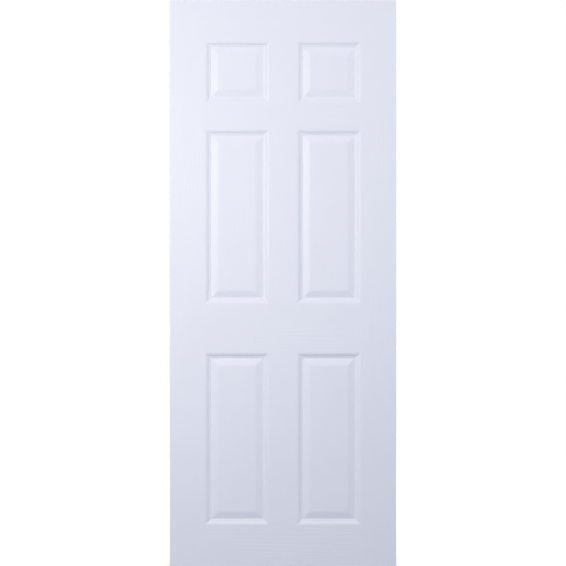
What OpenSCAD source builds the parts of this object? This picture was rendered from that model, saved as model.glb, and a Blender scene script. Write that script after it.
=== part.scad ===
// Six-panel front door leaf: two moulded glass-fibre skins on a laminated timber frame,
// with a foam core, a lock block and polymer strips along both long edges.
// X runs across the leaf, Y through its thickness and Z up. The origin is the middle of
// the bottom edge, and the outside face looks along -Y.

/* [Leaf] */
// Width of the leaf
leaf_w = 813; // [640:1:1000]
// Height of the leaf
leaf_h = 2032; // [1700:1:2500]
// Thickness over both skins
leaf_t = 44.5; // [36:0.5:60]

/* [Panel layout] */
// Flat face between a long edge and the panels
stile_face = 125; // [100:1:150]
// Flat face between the two columns of panels
mullion_face = 97; // [60:1:130]
// Flat face above the top panels
top_face = 146; // [80:1:180]
// Height of the top panels
top_panel_h = 225; // [180:1:280]
// Flat face between the top and the middle panels
frieze_face = 92; // [60:1:120]
// Flat face between the middle and the bottom panels
lock_face = 172; // [120:1:210]
// Height of the bottom panels
bottom_panel_h = 622; // [400:1:750]
// Flat face below the bottom panels
bottom_face = 146; // [80:1:180]

/* [Moulding] */
// Steepest slope of the moulding's shoulder, in degrees
shoulder_slope = 45; // [40:1:65]
// Radius of the hollow at the shoulder's foot
cove_r = 3; // [1:0.5:4]
// Depth of the ledge's outer edge below the face
ledge_d = 6.6; // [5.5:0.1:8]
// Width of the ledge between the shoulder and the bead
ledge_w = 3.4; // [3:0.2:9]
// How much lower the ledge's inner edge lies than its outer edge
ledge_fall = 0.8; // [0:0.1:1]
// Depth of the groove below the ledge's inner edge
bead_d = 1.6; // [1:0.1:3]
// Width of the groove's floor
groove_w = 1.5; // [0.5:0.1:4]
// Slope of the bevel that rises to the field, in degrees
bevel_slope = 16; // [12:1:22]
// Radius of the hollow at the bevel's foot
heel_r = 3; // [1:0.5:5]
// Radius that blends the bevel into the field
crown_r = 34; // [20:1:40]
// Depth of the panel's field below the face
field_d = 2.2; // [0:0.1:3]

/* [Construction] */
// Thickness of each moulded skin
skin_t = 2; // [1.5:0.1:3]
// Thickness of the strip along each long edge
strip_t = 6; // [3:0.5:10]
// Width of each stile of the timber frame
stile_w = 32; // [24:1:45]
// Height of the frame's top rail
top_rail_h = 38; // [32:1:60]
// Height of the frame's bottom rail
bottom_rail_h = 50; // [32:1:75]
// Height of the lock block
lock_block_h = 380; // [250:5:600]
// Height of the lock block's middle above the leaf's bottom edge
lock_block_z = 960; // [850:5:1100]
// Room between the lock block and the edge of the panels
lock_block_gap = 5; // [2.5:0.5:15]

/* [Staples] */
// Length of a staple over both legs
staple_w = 25; // [16:1:30]
// Depth to which the legs go in
staple_d = 16; // [10:0.5:20]
// Side of the square wire
staple_wire = 1.6; // [1:0.1:2]
// Distance between the two staples of a joint
staple_pitch = 18; // [12:1:22]
// Height by which the staples of one face lie above those of the other
staple_stagger = 4; // [3:0.5:5]

/* [Hidden] */

function last(points) = points[len(points) - 1];

// Sections are lists of [distance, depth] points. This is an arc of radius r in n steps,
// from point p, where the line falls at angle a, to where it falls at angle b. A rising
// line has a negative angle.
function arc(p, r, a, b, n) = [
    for (i = [1:n])
        let (t = a + (b - a)*i/n)
        p + sign(b - a)*r*[sin(t) - sin(a), cos(a) - cos(t)]
];

// Slopes, radii and depths that follow from the moulding's sizes
ledge_slope = atan(ledge_fall/ledge_w);
cove_d = cove_r*(cos(ledge_slope) - cos(shoulder_slope));
shoulder_r = (ledge_d - cove_d)/(1 - cos(shoulder_slope));
bead_r = bead_d/(1 + cos(ledge_slope) - 2*cos(shoulder_slope));
groove_d = ledge_d + ledge_fall + bead_d;
bevel_turns_d = (heel_r + crown_r)*(1 - cos(bevel_slope));
bevel_run = (groove_d - field_d - bevel_turns_d)/tan(bevel_slope);

// The moulding's section from a panel's edge inwards: the shoulder, the ledge and the bead
// step down to the groove
shoulder = arc([0, 0], shoulder_r, 0, shoulder_slope, 6);
cove = arc(last(shoulder), cove_r, shoulder_slope, ledge_slope, 3);
ledge_end = last(cove) + [ledge_w, ledge_fall];
bead = arc(ledge_end, bead_r, ledge_slope, shoulder_slope, 3);
bead_foot = arc(last(bead), bead_r, shoulder_slope, 0, 3);
sunk_side = concat([[0, 0]], shoulder, cove, [ledge_end], bead, bead_foot);

// From the groove the bevel rises to the field
bevel_start = [last(bead_foot).x + groove_w, groove_d];
heel = arc(bevel_start, heel_r, 0, -bevel_slope, 2);
bevel_end = last(heel) + bevel_run*[1, -tan(bevel_slope)];
crown = arc(bevel_end, crown_r, -bevel_slope, 0, 5);
raised_side = concat([bevel_start], heel, [bevel_end], crown);

// How far the inside of a skin moves sideways from its outside, so that the sloping
// stretches keep the skin's thickness
shoulder_shift = skin_t*tan(shoulder_slope/2);
bevel_shift = skin_t*tan(bevel_slope/2);

// Panel openings as [start, size], across the leaf and up it
panel_w = (leaf_w - mullion_face)/2 - stile_face;
middle_panel_z = bottom_face + bottom_panel_h + lock_face;
top_panel_z = leaf_h - top_face - top_panel_h;
columns = [
    [-leaf_w/2 + stile_face, panel_w],
    [mullion_face/2, panel_w]
];
rows = [
    [bottom_face, bottom_panel_h],
    [middle_panel_z, top_panel_z - frieze_face - middle_panel_z],
    [top_panel_z, top_panel_h]
];

// The timber frame fills the space between the skins and between the strips, and the lock
// block fills what is left of the face beside the panels, less its gap
frame_t = leaf_t - 2*skin_t;
frame_w = leaf_w - 2*strip_t;
bay_w = frame_w - 2*stile_w;
lock_block_w = stile_face - strip_t - stile_w - lock_block_gap;

// Both sides of one panel's section, closed at the level d_close
module panel_section(start, size, side, d_close) {
    near = [for (p = side) [start + p.x, p.y]];
    far = [for (i = [len(side) - 1:-1:0]) [start + size - side[i].x, side[i].y]];
    polygon(concat([[start + side[0].x, d_close]], near, far, [[last(far).x, d_close]]));
}

// A section run up the leaf in both columns, and one run across it in all three rows.
// Where the two cross, the mouldings meet in mitred corners.
module column_runs(side, grow, d_close) {
    linear_extrude(leaf_h)
        for (c = columns) panel_section(c[0] - grow, c[1] + 2*grow, side, d_close);
}
module row_runs(side, grow, d_close) {
    rotate([0, -90, 0]) linear_extrude(leaf_w, center = true)
        for (r = rows) panel_section(r[0] - grow, r[1] + 2*grow, side, d_close);
}
module mitred(side, grow, d_close) {
    intersection() {
        column_runs(side, grow, d_close);
        row_runs(side, grow, d_close);
    }
}

// All six panels as the body that the mould presses into a face lying at Y = 0. The
// outside has no shift, and the inside of the skin lies one thickness deeper.
module pressing(sunk_grow = 0, raised_grow = 0) {
    difference() {
        mitred(sunk_side, sunk_grow, -skin_t/2);
        mitred(raised_side, raised_grow, groove_d + skin_t/2);
    }
}
module inside_pressing() {
    translate([0, skin_t, 0]) pressing(shoulder_shift, -bevel_shift);
}

// A moulded skin whose outside lies at Y = 0 and looks along -Y
module skin() {
    difference() {
        union() {
            translate([-leaf_w/2, 0, 0]) cube([leaf_w, skin_t, leaf_h]);
            inside_pressing();
        }
        pressing();
    }
}

// Puts a child made against the Y = 0 face onto the outside, or mirrored onto the back
module on_front() { translate([0, -leaf_t/2, 0]) children(); }
module on_back() { mirror([0, 1, 0]) on_front() children(); }

// A bar of the frame, the full depth between the skins, from its lower left corner
module bar(x, z, w, h) {
    translate([x, -frame_t/2, z]) cube([w, frame_t, h]);
}

// A staple centred at [x, z] and driven flush into the frame's front face
module staple(x, z) {
    translate([x - staple_w/2, -frame_t/2, z - staple_wire/2]) {
        cube([staple_w, staple_wire, staple_wire]);
        for (leg_x = [0, staple_w - staple_wire])
            translate([leg_x, 0, 0]) cube([staple_wire, staple_d, staple_wire]);
    }
}

// The staples across a joint at [x, z]: two in each face, staggered so that their legs pass
module joint_staples(x, z) {
    for (row = [-1, 1]) {
        row_z = z + row*staple_pitch/2;
        staple(x, row_z - staple_stagger/2);
        mirror([0, 1, 0]) staple(x, row_z + staple_stagger/2);
    }
}
module staples() {
    for (side = [-1, 1], z = [bottom_rail_h/2, leaf_h - top_rail_h/2])
        joint_staples(side*bay_w/2, z);
    joint_staples(bay_w/2, lock_block_z);
}

module front_skin() color([0.86, 0.88, 0.94]) on_front() skin();
module back_skin() color([0.86, 0.88, 0.94]) on_back() skin();

module edge_strip(x) color([0.9, 0.9, 0.92]) bar(x, 0, strip_t, leaf_h);
module hinge_edge_strip() edge_strip(-leaf_w/2);
module lock_edge_strip() edge_strip(leaf_w/2 - strip_t);

module stile(x) color([0.8, 0.66, 0.46]) difference() {
    bar(x, 0, stile_w, leaf_h);
    staples();
}
module hinge_stile() stile(-frame_w/2);
module lock_stile() stile(frame_w/2 - stile_w);

module top_rail() color([0.83, 0.7, 0.5]) difference() {
    bar(-bay_w/2, leaf_h - top_rail_h, bay_w, top_rail_h);
    staples();
}
module bottom_rail() color([0.55, 0.5, 0.44]) difference() {
    bar(-bay_w/2, 0, bay_w, bottom_rail_h);
    staples();
}

module lock_block_bar() {
    bar(bay_w/2 - lock_block_w, lock_block_z - lock_block_h/2, lock_block_w, lock_block_h);
}
module lock_block() color([0.8, 0.66, 0.46]) difference() {
    lock_block_bar();
    staples();
}

// Foam fills what the frame, the lock block and the two pressings leave
module foam_core() color([0.93, 0.87, 0.66]) difference() {
    bar(-bay_w/2, bottom_rail_h, bay_w, leaf_h - bottom_rail_h - top_rail_h);
    lock_block_bar();
    on_front() inside_pressing();
    on_back() inside_pressing();
}

module frame_staples() color([0.62, 0.63, 0.65]) staples();

front_skin();
back_skin();
hinge_edge_strip();
lock_edge_strip();
hinge_stile();
lock_stile();
top_rail();
bottom_rail();
lock_block();
foam_core();
frame_staples();
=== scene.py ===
# %% [markdown]
# # A moulded front door leaf
# A composite door leaf is a sandwich. Two thin moulded skins carry the panels and the wood
# grain, a timber frame between them takes the hinges and the lock, and foam fills the rest.
# The construction model already holds every piece at its real size, so this lesson gives the
# pieces their finishes and models again only what the light plays on: the two skins.

# %% Load the construction model
import math

import bpy
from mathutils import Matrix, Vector


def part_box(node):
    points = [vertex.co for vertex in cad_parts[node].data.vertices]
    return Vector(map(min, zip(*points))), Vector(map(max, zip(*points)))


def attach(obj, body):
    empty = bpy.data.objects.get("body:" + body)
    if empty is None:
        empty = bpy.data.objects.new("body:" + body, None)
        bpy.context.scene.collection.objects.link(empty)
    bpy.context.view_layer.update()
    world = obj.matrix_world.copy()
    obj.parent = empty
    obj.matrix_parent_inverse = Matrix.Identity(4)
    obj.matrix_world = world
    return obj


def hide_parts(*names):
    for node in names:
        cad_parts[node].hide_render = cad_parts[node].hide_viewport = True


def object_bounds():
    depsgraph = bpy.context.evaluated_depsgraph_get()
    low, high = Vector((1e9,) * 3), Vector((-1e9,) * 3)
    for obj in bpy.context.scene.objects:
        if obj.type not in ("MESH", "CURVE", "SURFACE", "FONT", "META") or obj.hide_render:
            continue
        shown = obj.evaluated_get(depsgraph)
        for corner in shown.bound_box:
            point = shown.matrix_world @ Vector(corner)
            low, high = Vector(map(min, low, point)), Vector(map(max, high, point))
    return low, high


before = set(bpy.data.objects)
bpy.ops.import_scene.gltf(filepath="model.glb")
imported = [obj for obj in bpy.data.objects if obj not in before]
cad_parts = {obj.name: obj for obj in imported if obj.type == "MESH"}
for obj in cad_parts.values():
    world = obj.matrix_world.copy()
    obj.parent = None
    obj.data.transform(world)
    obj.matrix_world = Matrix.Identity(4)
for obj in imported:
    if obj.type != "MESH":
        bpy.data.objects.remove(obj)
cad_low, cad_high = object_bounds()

print("pieces in the construction model:", ", ".join(sorted(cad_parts)))

# %% [markdown]
# ## Sizes
# The leaf's own sizes can be read off the construction model: its box gives width, thickness
# and height. A skin starts at the face and an edge strip starts behind it, so the step between
# the two is the skin's thickness. The layout of the panels isn't stored anywhere else, so it is
# written out here, in millimetres as a joiner would give it.

# %% Measure the leaf
MM = 0.001
leaf_w, leaf_t, leaf_h = cad_high - cad_low
skin_low, skin_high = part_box("front_skin")
strip_low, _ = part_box("hinge_edge_strip")
skin_t = strip_low.y - skin_low.y
groove_d = skin_high.y - skin_low.y - skin_t
print(f"leaf {leaf_w / MM:.0f} x {leaf_h / MM:.0f} x {leaf_t / MM:.1f} mm")
print(f"skin {skin_t / MM:.1f} mm thick, groove {groove_d / MM:.1f} mm deep")

# %% Lay out the six panels
STILE_FACE = 125 * MM
MULLION_FACE = 97 * MM
BOTTOM_FACE = 146 * MM
BOTTOM_PANEL_H = 622 * MM
LOCK_FACE = 172 * MM
FRIEZE_FACE = 92 * MM
TOP_PANEL_H = 225 * MM
TOP_FACE = 146 * MM

bottom_panel_top = BOTTOM_FACE + BOTTOM_PANEL_H
top_panel_base = leaf_h - TOP_FACE - TOP_PANEL_H
columns = [
    (-leaf_w / 2 + STILE_FACE, -MULLION_FACE / 2),
    (MULLION_FACE / 2, leaf_w / 2 - STILE_FACE),
]
rows = [
    (BOTTOM_FACE, bottom_panel_top),
    (bottom_panel_top + LOCK_FACE, top_panel_base - FRIEZE_FACE),
    (top_panel_base, top_panel_base + TOP_PANEL_H),
]
for low, high in rows:
    print(f"panels from {low / MM:.0f} to {high / MM:.0f} mm above the bottom edge")

# %% [markdown]
# ## Camera
# The leaf is shown square on, as a catalogue shows a door, and its height fills the picture. A
# wide lens close up would bend the long edges outwards, so a long lens stands well back. The
# distance follows from the lens: half the leaf's height has to fill half the sensor.

# %% Place the camera
scene = bpy.context.scene
camera_data = bpy.data.cameras.new("camera")
camera_data.lens = 100
camera_data.sensor_width = 36
camera_distance = (leaf_h / 2) * camera_data.lens / (camera_data.sensor_width / 2)
camera = bpy.data.objects.new("camera", camera_data)
camera.location = (0, cad_low.y - camera_distance, leaf_h / 2)
camera.rotation_euler = (math.radians(90), 0, 0)
scene.collection.objects.link(camera)
scene.camera = camera
print(f"camera {camera_distance:.2f} m in front of the face")

# %% [markdown]
# ## A way to write shaders
# Finishes are made of shader nodes, and a long list of nodes hides the idea behind a material.
# So one small class wraps a node's output and lets it be added, subtracted and multiplied as if
# it were a number: each operation quietly adds a Math node. A second class holds a tree of
# nodes, and its method `node` makes every other kind.

# %% Values that do arithmetic
class Value:
    """The output of a shader node; arithmetic on it adds Math nodes."""

    def __init__(self, tree, socket):
        self.tree = tree
        self.socket = socket

    def math(self, operation, *others):
        return self.tree.math(operation, self, *others)

    def __add__(self, other):
        return self.math("ADD", other)

    def __radd__(self, other):
        return self.tree.math("ADD", other, self)

    def __sub__(self, other):
        return self.math("SUBTRACT", other)

    def __rsub__(self, other):
        return self.tree.math("SUBTRACT", other, self)

    def __mul__(self, other):
        return self.math("MULTIPLY", other)

    def __rmul__(self, other):
        return self.tree.math("MULTIPLY", other, self)

    def __truediv__(self, other):
        return self.math("DIVIDE", other)

    def __rtruediv__(self, other):
        return self.tree.math("DIVIDE", other, self)


print("a value adds, subtracts, multiplies and divides")

# %% A tree of nodes
class NodeTree:
    """Makes nodes in a tree, sets them up and feeds their sockets."""

    def __init__(self, owner):
        owner.use_nodes = True
        self.nodes = owner.node_tree.nodes
        self.links = owner.node_tree.links

    def feed(self, node, name, value):
        """name is a socket's number, its label, or its identifier where labels repeat."""
        if isinstance(name, int):
            socket = node.inputs[name]
        else:
            socket = next(s for s in node.inputs if name in (s.identifier, s.name))
        if isinstance(value, Value):
            self.links.new(value.socket, socket)
        else:
            socket.default_value = value

    def set_stops(self, stops, wanted):
        """A ramp starts with two stops and must keep one, so the others are made afresh."""
        stops.remove(stops[1])
        for number, (position, colour) in enumerate(wanted):
            stop = stops.new(position) if number else stops[0]
            stop.position = position
            stop.color = (*colour, 1)

    def node(self, kind, settings, inputs, output=0):
        """Makes a node: its settings first, then its sockets; gives one of its outputs."""
        made = self.nodes.new("ShaderNode" + kind)
        for name, value in settings.items():
            if name == "stops":
                self.set_stops(made.color_ramp.elements, value)
            else:
                setattr(made, name, value)
        for name, value in inputs.items():
            self.feed(made, name, value)
        return Value(self, made.outputs[output])

    def math(self, operation, *numbers):
        """A Math node; each number is a plain one or a value."""
        return self.node("Math", {"operation": operation}, dict(enumerate(numbers)))


print("a tree makes any node from its kind, its settings and its inputs")

# %% [markdown]
# ## What all finishes share
# A real door isn't wrapped in a picture: its grain, veneers and foam cells lie in the material
# itself. So every pattern here is worked out from a point's place in the leaf, in metres, and a
# pattern runs on round an edge as it does in solid wood. Noise gives the natural irregularity,
# stretched along the grain where there is one.

# %% A finish
class Finish(NodeTree):
    """A material with one shader, and the patterns that vary it over the surface."""

    def __init__(self, name, **constants):
        self.material = bpy.data.materials.new(name)
        super().__init__(self.material)
        self.shader = self.nodes["Principled BSDF"]
        self.set(**constants)

    def set(self, **sockets):
        """Feeds the shader's sockets, named in small letters: base_color, roughness, normal."""
        for name, value in sockets.items():
            label = name.replace("_", " ").title().replace("Ior", "IOR")
            self.feed(self.shader, label, (*value, 1) if isinstance(value, tuple) else value)

    def place(self):
        return self.node("TexCoord", {}, {}, output="Object")

    def along(self, axis):
        return self.node("SeparateXYZ", {}, {0: self.place()}, output=axis)

    def noise(self, lump, detail=2, layer=0):
        """Cloudy noise of 0 to 1, with lumps of this size in metres along X, Y and Z.

        Another layer gives another pattern.
        """
        rates = [1 / size for size in lump]
        stretched = self.node("VectorMath", {"operation": "MULTIPLY"}, {0: self.place(), 1: rates})
        inputs = {"Vector": stretched, "W": layer, "Scale": 1, "Detail": detail}
        return self.node("TexNoise", {"noise_dimensions": "4D"}, inputs)

    def step(self, value, low, high):
        """0 below low, 1 above high and smooth between."""
        inputs = {"Value": value, "From Min": low, "From Max": high}
        return self.node("MapRange", {"interpolation_type": "SMOOTHSTEP"}, inputs)

    def ramp(self, value, *stops):
        """A colour for a value of 0 to 1, from stops of (value, colour)."""
        return self.node("ValToRGB", {"stops": stops}, {0: value})

    def relief(self, height, depth):
        """Raises the surface where height is 1, by a depth in metres."""
        self.set(normal=self.node("Bump", {}, {"Height": height, "Distance": depth}))


print("a finish can measure places, make noise, steps and ramps, and raise a relief")

# %% [markdown]
# ## The pressed wood grain
# The mould's steel faces are etched from real oak, so the skins come out with a faint grain:
# long cathedral arches where the growth rings were cut, and short pores between them. It has no
# colour of its own. The arches could be drawn by hand, but a formula does it at any size: even
# bands across the grain, pushed sideways by a slow noise that is drawn out along the grain,
# close into long arches by themselves. Pores are a fine noise, drawn out and cut off high.

# %% The skin's grain
SKIN_WHITE = (0.833, 0.857, 0.904)
SKIN_FAINT = (0.82, 0.845, 0.891)
RING_WIDTH = 13 * MM
GRAIN_DEPTH = 0.25 * MM


def skin_finish(name, grain):
    """A moulded skin whose grain runs along "X" or "Z"."""
    finish = Finish(name, specular_ior_level=0.4)
    crossways = {"X": "Z", "Z": "X"}[grain]

    def noise(across, along, detail):
        lump = {"X": (along, across, across), "Z": (across, across, along)}[grain]
        return finish.noise(lump, detail)

    # the slow noise pushes the rings aside by up to 5.5 widths, which closes them into arches
    drift = noise(across=95 * MM, along=620 * MM, detail=1)
    wander = noise(across=18 * MM, along=160 * MM, detail=2)
    rings = finish.along(crossways) / RING_WIDTH + drift * 5.5 + wander * 0.6
    wave = (rings * (2 * math.pi)).math("SINE")
    arches = finish.step(wave, low=-0.6, high=0.9)

    # the grain fades in and out over the sheet, and pores cut into it everywhere
    patches = noise(across=120 * MM, along=400 * MM, detail=2)
    strength = finish.step(patches, low=0.35, high=0.65)
    pores = finish.step(noise(across=1.6 * MM, along=34 * MM, detail=1), low=0.6, high=0.72)
    finish.relief(arches * (strength * 0.55 + 0.15) - pores * 0.45, GRAIN_DEPTH)

    cloud = finish.noise((60 * MM,) * 3, detail=3)
    finish.set(roughness=0.38 + cloud * 0.1 + pores * 0.06)
    tone = cloud * 0.7 + strength * 0.3
    finish.set(base_color=finish.ramp(tone, (0.2, SKIN_FAINT), (0.8, SKIN_WHITE)))
    return finish


skin_upright = skin_finish("skin_grain_upright", "Z")
skin_crosswise = skin_finish("skin_grain_crosswise", "X")
print(f"grain {GRAIN_DEPTH / MM:.2f} mm deep, rings {RING_WIDTH / MM:.0f} mm apart")

# %% [markdown]
# ## The skin's raw inside
# The side that the foam grips isn't finished at all: the glass-fibre mat prints through the
# resin as a tangle of pale strands. A woven pattern would be too regular for a mat. Instead two
# noises, each drawn out a different way, cross each other and are cut to strands by a step.

# %% The raw laminate
def raw_laminate():
    finish = Finish("raw_laminate", roughness=0.6)
    upright = finish.noise((1.5 * MM, 9 * MM, 9 * MM), detail=3)
    crossing = finish.noise((9 * MM, 9 * MM, 1.5 * MM), detail=3)
    strands = finish.step((upright + crossing) / 2, low=0.4, high=0.62)
    finish.set(base_color=finish.ramp(strands, (0, (0.5, 0.5, 0.46)), (1, (0.68, 0.68, 0.62))))
    finish.relief(strands, 0.15 * MM)
    return finish


skin_inside = raw_laminate()
print("raw laminate ready for the sides that face the foam")

# %% [markdown]
# ## The moulding's section
# Each panel is framed by the same moulding. From the flat face inwards it rolls over a rounded
# shoulder, runs down a narrow ledge, drops over a small bead into a groove, and climbs a long
# bevel that blends into the raised field. A list of measured points would do for one size only.
# But all of it is arcs and straight stretches that meet without a kink, so it can be drawn the
# way one walks it: turn, go straight, turn again. Each point also keeps the slope of the surface
# there. The light can then be made to roll over the curves exactly, however few points they have.

# %% A line of arcs and straight stretches
class SectionLine:
    """A line from a panel's edge inwards, as points (distance, depth, slope)."""

    def __init__(self):
        self.points = [(0, 0, 0)]

    def turn(self, radius, slope, steps):
        """An arc on to a new slope, which is positive where the line falls into the leaf."""
        start_d, start_depth, start = self.points[-1]
        r = math.copysign(radius, slope - start)
        for step in range(1, steps + 1):
            a = start + (slope - start) * step / steps
            d = start_d + r * (math.sin(a) - math.sin(start))
            depth = start_depth + r * (math.cos(start) - math.cos(a))
            self.points.append((d, depth, a))

    def straight(self, run):
        """On at the same slope, this far inwards."""
        d, depth, a = self.points[-1]
        self.points.append((d + run, depth + run * math.tan(a), a))


sample = SectionLine()
sample.turn(radius=10 * MM, slope=math.radians(45), steps=3)
sample_d, sample_depth, _ = sample.points[-1]
print(f"10 mm arc down to 45 degrees: {sample_d / MM:.2f} mm in, {sample_depth / MM:.2f} mm deep")

# %% Sizes of the moulding
SHOULDER_SLOPE = math.radians(45)
COVE_R = 3 * MM
LEDGE_D = 6.6 * MM
LEDGE_W = 3.4 * MM
LEDGE_FALL = 0.8 * MM
GROOVE_W = 1.5 * MM
BEVEL_SLOPE = math.radians(16)
HEEL_R = 3 * MM
CROWN_R = 34 * MM
FIELD_D = 2.2 * MM

ledge_slope = math.atan(LEDGE_FALL / LEDGE_W)
cove_d = COVE_R * (math.cos(ledge_slope) - math.cos(SHOULDER_SLOPE))
shoulder_r = (LEDGE_D - cove_d) / (1 - math.cos(SHOULDER_SLOPE))
bead_d = groove_d - LEDGE_D - LEDGE_FALL
bead_r = bead_d / (1 + math.cos(ledge_slope) - 2 * math.cos(SHOULDER_SLOPE))
bevel_turns_d = (HEEL_R + CROWN_R) * (1 - math.cos(BEVEL_SLOPE))
bevel_run = (groove_d - FIELD_D - bevel_turns_d) / math.tan(BEVEL_SLOPE)
print(f"shoulder radius {shoulder_r / MM:.1f} mm, bead radius {bead_r / MM:.1f} mm")

# %% Draw the section
line = SectionLine()
line.turn(shoulder_r, SHOULDER_SLOPE, steps=10)
line.turn(COVE_R, ledge_slope, steps=6)
line.straight(LEDGE_W)
line.turn(bead_r, SHOULDER_SLOPE, steps=5)
line.turn(bead_r, 0, steps=5)
groove_start = len(line.points)
line.straight(GROOVE_W)
line.turn(HEEL_R, -BEVEL_SLOPE, steps=5)
line.straight(bevel_run)
line.turn(CROWN_R, 0, steps=8)
sunk_side = line.points[:groove_start]
bevel = line.points[groove_start:]
print(f"moulding {bevel[-1][0] / MM:.1f} mm wide, field {bevel[-1][1] / MM:.1f} mm deep")

# %% [markdown]
# ## The skins
# Seen from the front, a moulding is a set of nested rectangles that grow deeper and then
# shallower, with mitred corners. It could be cut into a slab, but a cut leaves slivers along the
# mitres, and they spoil the shading. So a skin is built as it looks: a flat grid with six holes,
# and in each hole one ring of four corners for each point of the section. The inside of the sheet
# is the same again, one thickness deeper. It also moves a little sideways, so that the steep
# stretches stay as thick as the flat ones.

# %% A sheet that gathers faces with exact normals
class Sheet:
    """Gathers vertices, faces, their finishes and the surface direction at every corner."""

    def __init__(self, way):
        self.way = way  # -1 for a skin that looks along -Y, 1 for one that looks along +Y
        self.vertices = []
        self.faces = []
        self.finishes = []
        self.normals = []

    def vertex(self, x, depth, z):
        self.vertices.append((x, self.way * (leaf_t / 2 - depth), z))
        return len(self.vertices) - 1

    def face(self, corners, normals, finish, inside=False):
        """corners run anticlockwise for someone who looks along +Y; normals are (x, out, z)."""
        turned = [Vector((x, self.way * out, z)).normalized() for x, out, z in normals]
        if inside:
            turned = [-n for n in turned]
        seen_from_behind = inside == (self.way < 0)
        if seen_from_behind:
            corners = corners[::-1]
            turned = turned[::-1]
        self.faces.append(corners)
        self.normals.extend(turned)
        self.finishes.append(finish)

    def make(self, name, finishes):
        mesh = bpy.data.meshes.new(name)
        mesh.from_pydata(self.vertices, [], self.faces)
        mesh.polygons.foreach_set("material_index", self.finishes)
        mesh.shade_smooth()
        mesh.normals_split_custom_set(self.normals)
        for finish in finishes:
            mesh.materials.append(finish.material)
        made = bpy.data.objects.new(name, mesh)
        scene.collection.objects.link(made)
        return made


print("a sheet keeps a surface direction for every corner of every face")

# %% The four sides of a rectangle
UPRIGHT, CROSSWISE, RAW = 0, 1, 2  # a skin's finishes, in the order in which they are added
INWARDS = [(0, 1), (-1, 0), (0, -1), (1, 0)]  # across (X, Z) from the bottom, right, top, left
SIDE_GRAIN = [CROSSWISE, UPRIGHT, CROSSWISE, UPRIGHT]
FLAT = (0, 1, 0)


def leaning(side, slope):
    """The surface direction (x, out, z) where one side's surface falls inwards at a slope."""
    in_x, in_z = INWARDS[side]
    return (in_x * math.sin(slope), math.cos(slope), in_z * math.sin(slope))


def add_ring(sheet, outer, inner, slopes, finishes, inside):
    """Four mitred strips between two rectangles of vertices."""
    for side in range(4):
        after = (side + 1) % 4
        corners = [outer[side], outer[after], inner[after], inner[side]]
        near, far = leaning(side, slopes[0]), leaning(side, slopes[1])
        sheet.face(corners, [near, near, far, far], finishes[side], inside)


print("a ring's sides lean towards", INWARDS)

# %% [markdown]
# ## Panels and flat faces
# The inside of the sheet needs the same section, moved by one thickness. The grid then lays the
# flat faces between the panels, with the grain lying as it would in a joined door: upright on
# the stiles and the mullion, crosswise on the rails.

# %% The rings of one panel
def section(inside):
    """The section of one side of the sheet; the inside is moved by one thickness."""
    if not inside:
        return sunk_side + bevel
    sunk_shift = -skin_t * math.tan(SHOULDER_SLOPE / 2)
    bevel_shift = skin_t * math.tan(BEVEL_SLOPE / 2)
    moved = [(d + sunk_shift, depth + skin_t, a) for d, depth, a in sunk_side]
    return moved + [(d + bevel_shift, depth + skin_t, a) for d, depth, a in bevel]


def add_panel(sheet, column, row, rim, inside):
    """The rings of one panel, from the rim's four vertices in to the flat field."""
    (left, right), (bottom, top) = column, row
    ring, slope = rim, 0
    for number, (d, depth, a) in enumerate(section(inside)[1:], 1):
        low, high = (left + d, bottom + d), (right - d, top - d)
        corners = [low, (high[0], low[1]), high, (low[0], high[1])]
        next_ring = [sheet.vertex(x, depth, z) for x, z in corners]
        on_panel = number >= len(sunk_side)
        grain = [UPRIGHT] * 4 if on_panel else SIDE_GRAIN
        add_ring(sheet, ring, next_ring, (slope, a), [RAW] * 4 if inside else grain, inside)
        ring, slope = next_ring, a
    sheet.face(ring, [FLAT] * 4, RAW if inside else UPRIGHT, inside)


print("rings round each panel's field:", len(section(inside=False)) - 1)

# %% The flat grid around the panels
def grid_lines(spans, shift, low, high):
    """Where the grid's lines run: both ends of each span, moved outwards, between two edges."""
    inner = [place for near, far in spans for place in (near + shift, far - shift)]
    return [low, *inner, high]


def perimeter(grid, last_i, last_j):
    """The grid's edge from its bottom left corner: each vertex and the side that starts there."""
    bottom = [(grid[i, 0], 0) for i in range(last_i)]
    right = [(grid[last_i, j], 1) for j in range(last_j)]
    top = [(grid[i, last_j], 2) for i in range(last_i, 0, -1)]
    left = [(grid[0, j], 3) for j in range(last_j, 0, -1)]
    return bottom + right + top + left


def add_grid(sheet, inset, inside):
    """The flat face with its six panels; gives the vertices round its edge."""
    shift, depth, _ = section(inside)[0]
    xs = grid_lines(columns, shift, -leaf_w / 2 + inset, leaf_w / 2 - inset)
    zs = grid_lines(rows, shift, inset, leaf_h - inset)
    last_i, last_j = len(xs) - 1, len(zs) - 1
    grid = {(i, j): sheet.vertex(x, depth, z) for i, x in enumerate(xs) for j, z in enumerate(zs)}
    for i, j in ((i, j) for i in range(last_i) for j in range(last_j)):
        cell = [grid[i, j], grid[i + 1, j], grid[i + 1, j + 1], grid[i, j + 1]]
        if i % 2 and j % 2:
            add_panel(sheet, columns[i // 2], rows[j // 2], cell, inside)
        else:
            on_rail = 0 < i < last_i - 1 and j % 2 == 0
            grain = CROSSWISE if on_rail else UPRIGHT
            sheet.face(cell, [FLAT] * 4, RAW if inside else grain, inside)
    return perimeter(grid, last_i, last_j)


inside_rim = section(inside=True)[0][0]
print(f"on the inside, each panel's edge lies {-inside_rim / MM:.2f} mm further out")

# %% [markdown]
# ## The skin's outer edge
# The edge of a real skin is never razor sharp: the paint and the trimming leave a tiny round,
# which catches a thin line of light. A bevel modifier would round the panels' lines too, so the
# rim is made with the same idea as the panels, as loops that step outwards and back while they
# turn through a quarter of a circle.

# %% The rim
ARRIS_R = 0.6 * MM
ARRIS_STEPS = 4


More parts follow.
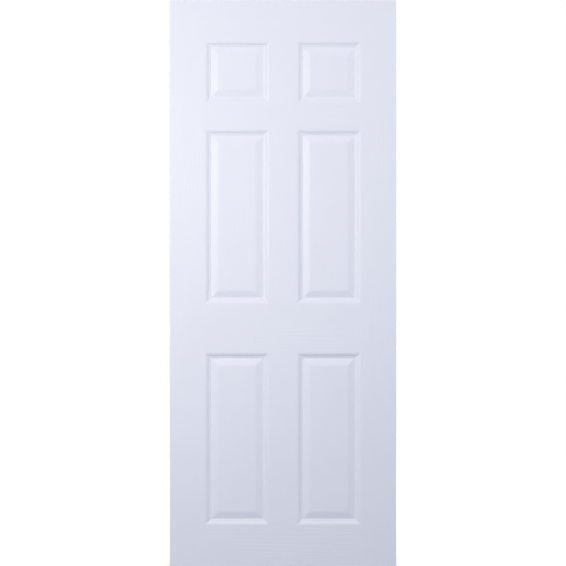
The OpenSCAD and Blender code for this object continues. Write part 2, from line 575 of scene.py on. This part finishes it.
def moved_out(sheet, vertex, out, depth):
    """A copy of a rim vertex, moved out across the edges of the leaf that it lies on."""
    x, _, z = sheet.vertices[vertex]
    above_middle = z - leaf_h / 2
    if abs(x) > leaf_w / 2 - 2 * ARRIS_R:
        x += math.copysign(out, x)
    if abs(above_middle) > leaf_h / 2 - 2 * ARRIS_R:
        z += math.copysign(out, above_middle)
    return sheet.vertex(x, depth, z)


def add_rim(sheet, rim, inner_rim):
    """Rounds the sheet's edge and closes it to the inside."""
    loops = [([vertex for vertex, _ in rim], 0)]
    for step in range(1, ARRIS_STEPS + 1):
        a = math.pi / 2 * step / ARRIS_STEPS
        out, depth = ARRIS_R * math.sin(a), ARRIS_R * (1 - math.cos(a))
        loops.append(([moved_out(sheet, vertex, out, depth) for vertex, _ in rim], a))
    loops.append(([vertex for vertex, _ in inner_rim], math.pi / 2))
    for (near, a), (far, b) in zip(loops, loops[1:]):
        for k, (_, side) in enumerate(rim):
            after = (k + 1) % len(rim)
            corners = [near[after], near[k], far[k], far[after]]
            outer, inner = leaning(side, -a), leaning(side, -b)
            sheet.face(corners, [outer, outer, inner, inner], UPRIGHT)


print(f"edge rounded by {ARRIS_R / MM:.1f} mm in {ARRIS_STEPS} steps")

# %% Build both skins
def build_skin(name, node, way):
    sheet = Sheet(way)
    rim = add_grid(sheet, ARRIS_R, inside=False)
    inner_rim = add_grid(sheet, 0, inside=True)
    add_rim(sheet, rim, inner_rim)
    skin = sheet.make(name, [skin_upright, skin_crosswise, skin_inside])
    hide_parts(node)
    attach(skin, "root")
    print(name, "has", len(skin.data.vertices), "vertices and", len(skin.data.polygons), "faces")


build_skin("outside_skin", "front_skin", -1)
build_skin("inside_skin", "back_skin", 1)

# %% [markdown]
# ## Pieces that keep their shape
# The frame, the strips, the foam and the staples are right as they are in the construction
# model, so they only get a finish. Sawn and extruded bars have eased edges, though, and where
# two of them meet, the two small rounds leave the fine line by which one sees the joint. A bevel
# modifier does that without touching the piece's mesh. A weld modifier has to come first: it
# joins the faces, which the construction model stores apart.

# %% Helpers for the kept pieces
def give(finish, *names):
    for name in names:
        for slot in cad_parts[name].material_slots:
            slot.material = finish.material
    print(finish.material.name, "given to", ", ".join(names))


def ease_edges(radius, *names):
    for name in names:
        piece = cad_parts[name]
        weld = piece.modifiers.new("join_faces", "WELD")
        weld.merge_threshold = 0.01 * MM
        bevel = piece.modifiers.new("ease_edges", "BEVEL")
        bevel.width = radius
        bevel.segments = 2
        bevel.limit_method = "ANGLE"
        bevel.harden_normals = True
    print(f"edges eased by {radius / MM:.1f} mm on", ", ".join(names))


kept = set(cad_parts) - {"front_skin", "back_skin"}
print("pieces that keep their shape:", ", ".join(sorted(kept)))

# %% [markdown]
# ## Edge strips
# Both long edges are covered by a strip of extruded polymer, which keeps water out of the
# timber. The die leaves faint lines along the strip, and the surface has the soft gloss of a
# window profile. Even stripes would look machined, so noise draws the lines: each is about half
# a millimetre wide and half a metre long.

# %% The strips' finish
def strip_finish():
    finish = Finish("extruded_polymer", specular_ior_level=0.45)
    die_lines = finish.noise((0.5 * MM, 0.5 * MM, 500 * MM), detail=2)
    cloud = finish.noise((25 * MM, 25 * MM, 180 * MM), detail=3)
    finish.set(base_color=finish.ramp(cloud, (0.3, (0.77, 0.785, 0.81)), (0.7, (0.8, 0.815, 0.84))))
    finish.set(roughness=0.34 + cloud * 0.1 + die_lines * 0.08)
    finish.relief(die_lines, 0.03 * MM)
    return finish


give(strip_finish(), "hinge_edge_strip", "lock_edge_strip")
ease_edges(0.5 * MM, "hinge_edge_strip", "lock_edge_strip")

# %% [markdown]
# ## Laminated timber
# The stiles and the lock block are glued up from peeled veneers, because such a bar stays
# straight. On the ends one sees the layers edge on, pale and dark in turn, with thin brown glue
# lines, and the cut fibres drink up light. Every veneer could be a piece of its own, but the
# layers only show in the finish. Dividing the place across the bar by a veneer's thickness and
# rounding down numbers them. The number picks a tone, and it also moves each layer's figure, so
# that no two veneers look alike.

# %% The laminated timber's finish
VENEER_T = 3.2 * MM
GLUE_T = 0.18 * MM


def laminated_finish():
    finish = Finish("laminated_timber")
    place = finish.along("X") / VENEER_T
    layer = place.math("FLOOR")
    from_middle = (place.math("FRACT") - 0.5).math("ABSOLUTE")
    glue = finish.step(from_middle, low=0.5 - GLUE_T / VENEER_T, high=0.5)
    one_number = {"noise_dimensions": "1D"}
    own_tone = finish.node("TexWhiteNoise", one_number, {"W": layer}, output="Value")
    figure = finish.noise((30 * MM, 9 * MM, 260 * MM), detail=3, layer=layer * 3.7)
    fibre = finish.noise((1.2 * MM, 0.5 * MM, 30 * MM), detail=2, layer=layer)

    facing = finish.node("TexCoord", {}, {}, output="Normal")
    upwards = finish.node("SeparateXYZ", {}, {0: facing}, output="Z").math("ABSOLUTE")
    end_grain = finish.step(upwards, low=0.5, high=0.9)
    cut_fibre = finish.noise((0.7 * MM, 0.7 * MM, 0.7 * MM), detail=2, layer=layer)

    tone = 0.15 + own_tone * 0.3 + figure * 0.35 + fibre * 0.2
    dark = glue * 0.5 + end_grain * cut_fibre * 0.3
    colour = finish.ramp(
        tone - dark,
        (0, (0.16, 0.08, 0.03)),
        (0.35, (0.5, 0.31, 0.15)),
        (0.8, (0.76, 0.55, 0.32)),
    )
    finish.set(base_color=colour, roughness=0.55 + fibre * 0.15 + end_grain * 0.15)
    finish.relief(fibre * 0.5 + cut_fibre * end_grain - glue * 0.4, 0.15 * MM)
    return finish


give(laminated_finish(), "hinge_stile", "lock_stile", "lock_block")

# %% [markdown]
# ## Softwood rail
# The top rail is sawn from a pine log, so its faces cut through growth rings: a pale early part
# and a thin, dark late part each year. Straight stripes would show the same on every face, which
# a sawn bar never does. But the rings are circles around the log's heart, and the heart runs
# along the rail, some way below it and behind it. The distance from that line, counted in ring
# widths, gives a sawtooth that a ramp colours. A slow noise makes the rings wander.

# %% The rail's finish
YEAR_RING = 3.4 * MM


def pine_finish():
    finish = Finish("sawn_pine")
    heart = (0, 34 * MM, leaf_h - 75 * MM)
    from_heart = finish.node("VectorMath", {"operation": "SUBTRACT"}, {0: finish.place(), 1: heart})
    in_section = finish.node("VectorMath", {"operation": "MULTIPLY"}, {0: from_heart, 1: (0, 1, 1)})
    radius = finish.node("VectorMath", {"operation": "LENGTH"}, {0: in_section}, output="Value")
    wander = finish.noise((320 * MM, 26 * MM, 26 * MM), detail=2)
    year = (radius / YEAR_RING + wander * 5).math("FRACT")
    fibre = finish.noise((40 * MM, 0.6 * MM, 0.6 * MM), detail=2)
    colour = finish.ramp(
        year * 0.85 + fibre * 0.15,
        (0, (0.84, 0.64, 0.38)),
        (0.5, (0.77, 0.55, 0.29)),
        (0.86, (0.5, 0.27, 0.1)),
        (0.95, (0.82, 0.61, 0.35)),
    )
    finish.set(base_color=colour, roughness=0.6 + fibre * 0.15)
    finish.relief(fibre, 0.08 * MM)
    return finish


give(pine_finish(), "top_rail")

# %% [markdown]
# ## Composite rail
# The bottom rail stands in the wet, so it is extruded from plastic and wood flour. It is grey
# brown, with pale and dark flecks that the die drew out along the rail. One noise that runs from
# pale to dark would only give clouds. So the flecks are two noises of different size, each cut
# off high, one for each colour.

# %% The composite's finish
def composite_finish():
    finish = Finish("wood_composite")
    cloud = finish.noise((50 * MM, 12 * MM, 12 * MM), detail=3)
    large = finish.noise((5 * MM, 1.3 * MM, 1.3 * MM), detail=1)
    small = finish.noise((3 * MM, 0.9 * MM, 0.9 * MM), detail=1)
    pale = finish.step(large, low=0.6, high=0.68)
    dark = finish.step(small, low=0.62, high=0.7)
    colour = finish.ramp(
        cloud * 0.35 + 0.3 + pale * 0.4 - dark * 0.35,
        (0.05, (0.12, 0.1, 0.08)),
        (0.45, (0.3, 0.26, 0.21)),
        (0.9, (0.55, 0.48, 0.38)),
    )
    finish.set(base_color=colour, roughness=0.62 + pale * 0.1)
    finish.relief(cloud * 0.5 + pale * 0.5, 0.12 * MM)
    return finish


give(composite_finish(), "bottom_rail")
ease_edges(0.4 * MM, "hinge_stile", "lock_stile", "lock_block", "top_rail", "bottom_rail")

# %% [markdown]
# ## Foam
# The core is poured between the skins and sets to a cream foam. A cut through it shows closed
# cells a little under a millimetre wide, packed like soap bubbles. A Voronoi pattern gives just
# that: each point's distance from the nearest cell's middle is the depth of the hollow there.

# %% The foam's finish
CELL = 0.9 * MM


def foam_finish():
    finish = Finish("poured_foam", roughness=0.9)
    cells = finish.node("TexVoronoi", {}, {"Vector": finish.place(), "Scale": 1 / CELL})
    cloud = finish.noise((70 * MM, 70 * MM, 70 * MM), detail=3)
    # the cells' distance also colours the foam: painted shade makes each hollow darker than the
    # paler rim round it
    colour = finish.ramp(
        cloud * 0.7 + cells * 0.4,
        (0.2, (0.74, 0.62, 0.36)),
        (0.6, (0.84, 0.75, 0.5)),
        (0.9, (0.9, 0.84, 0.64)),
    )
    finish.set(base_color=colour)
    finish.relief(cells, 0.35 * MM)
    return finish


give(foam_finish(), "foam_core")

# %% [markdown]
# ## Staples
# The frame's joints are held by wire staples while the foam sets. The wire is galvanised, so it
# is a metal with a dull, cloudy zinc skin and fine lines along it from the drawing die. They are
# small and almost hidden, so two noises are enough: one for the zinc and one for the lines.

# %% The staples' finish
def staple_finish():
    finish = Finish("galvanised_wire", metallic=1)
    zinc = finish.noise((2 * MM, 2 * MM, 2 * MM), detail=3)
    drawn = finish.noise((6 * MM, 0.2 * MM, 0.2 * MM), detail=1)
    finish.set(base_color=finish.ramp(zinc, (0.3, (0.45, 0.47, 0.5)), (0.7, (0.66, 0.68, 0.7))))
    finish.set(roughness=0.28 + zinc * 0.2)
    finish.relief(drawn, 0.02 * MM)
    return finish


give(staple_finish(), "frame_staples")

# %% [markdown]
# ## Light
# A white leaf on white ground has only its shading to show it, so the light has to be soft and
# still come from one side. A round softbox stands to the left at the height of a window: it
# brightens the bevels that face it and leaves their opposite sides grey. A larger one stands
# higher and further off to the right and lights the top more than the foot. A weak third one
# in front lifts the middle. The room itself gives an even light, which is bluer than the lamps,
# and the camera sees that room as plain white.

# %% The room's light
def light_room(colour):
    """Even light of this colour from all sides; only the camera sees plain white instead."""
    world = bpy.data.worlds.new("studio")
    scene.world = world
    room = NodeTree(world)
    ground = room.nodes["Background"]
    seen = room.node("Background", {}, {"Color": (1, 1, 1, 1), "Strength": 1})
    looked_at = room.node("LightPath", {}, {}, output="Is Camera Ray")
    mixed = room.node("MixShader", {}, {0: looked_at, 1: Value(room, ground.outputs[0]), 2: seen})
    room.feed(ground, "Color", (*colour, 1))
    room.feed(room.nodes["World Output"], "Surface", mixed)


ROOM_COLOUR = (0.328, 0.353, 0.459)
scene.view_settings.view_transform = "Standard"
light_room(ROOM_COLOUR)
print("room light set, and the camera sees white behind the leaf")

# %% A softbox
AIM = Vector((0, 0, 1.1))  # just above the leaf's middle
WARM = (1.0, 0.955, 0.888)


def add_softbox(name, place, size, power):
    """A round lamp, with its size in metres and its power in watts, turned to the leaf."""
    lamp = bpy.data.lights.new(name, "AREA")
    lamp.shape = "DISK"
    lamp.size = size
    lamp.energy = power
    lamp.color = WARM
    box = bpy.data.objects.new(name, lamp)
    box.location = place
    to_leaf = AIM - Vector(place)
    box.rotation_euler = to_leaf.to_track_quat("-Z", "Y").to_euler()
    scene.collection.objects.link(box)
    print(f"{name} gives {power} W, {to_leaf.length:.1f} m from the leaf")


# %% [markdown]
# The inside face deserves the same light as the outside, so that the leaf can be looked at from
# all round. The two main softboxes therefore stand behind it once more, turned half round.

# %% Set up the softboxes
for face, turn in (("outside", 1), ("inside", -1)):
    add_softbox(f"{face}_key", (-1.6 * turn, -2.4 * turn, 1.7), size=1.2, power=40.7)
    add_softbox(f"{face}_high_fill", (2.5 * turn, -3 * turn, 4), size=1.5, power=54.5)
add_softbox("outside_low_fill", (0, -1.8, 1.3), size=1.2, power=2.4)

# %% [markdown]
# ## Floor
# The leaf stands on a plain pale floor that runs out to the horizon. Seen level, it has to melt
# into the white ground, so most of its white is its own glow. The rest comes from a skylight
# overhead, which lights nothing but the floor: light linking allows a lamp to do that. The leaf
# stands in the skylight's way, and the soft shade round its foot shows where it stands. The
# room lights the floor a little too, so the glow is weaker by that much.

# %% The floor
FLOOR_WHITE = 1.01  # just above white, so that no noise shows in the open floor
SKY_SHARE = 0.4  # the part of it that comes from the skylight and is lost in the shade
FLOOR_ALBEDO = 0.1  # low, so that the softboxes and the leaf hardly light the floor


def lay_floor(reach):
    """A floor this many metres out to each side. It doesn't light the leaf or mirror in it."""
    corners = [(-reach, -reach, 0), (reach, -reach, 0), (reach, reach, 0), (-reach, reach, 0)]
    mesh = bpy.data.meshes.new("floor")
    mesh.from_pydata(corners, [], [(0, 1, 2, 3)])
    floor = bpy.data.objects.new("floor", mesh)
    scene.collection.objects.link(floor)
    glow = tuple(FLOOR_WHITE - SKY_SHARE - FLOOR_ALBEDO * part for part in ROOM_COLOUR)
    finish = Finish("pale_floor", base_color=(FLOOR_ALBEDO,) * 3, specular_ior_level=0)
    finish.set(emission_color=glow, emission_strength=1)
    mesh.materials.append(finish.material)
    floor.visible_diffuse = False
    floor.visible_glossy = False
    print(f"floor {2 * reach} m wide")
    return floor


def add_skylight(floor, spread):
    """A lamp straight overhead, this many degrees wide, that lights only the floor."""
    lamp = bpy.data.lights.new("skylight", "SUN")
    lamp.angle = math.radians(spread)
    lamp.energy = SKY_SHARE * math.pi / FLOOR_ALBEDO  # a matt floor spreads light over pi
    sky = bpy.data.objects.new("skylight", lamp)
    scene.collection.objects.link(sky)
    lit = bpy.data.collections.new("lit_by_skylight")
    lit.objects.link(floor)
    sky.light_linking.receiver_collection = lit
    print(f"skylight {spread} degrees wide")


add_skylight(lay_floor(60), spread=50)
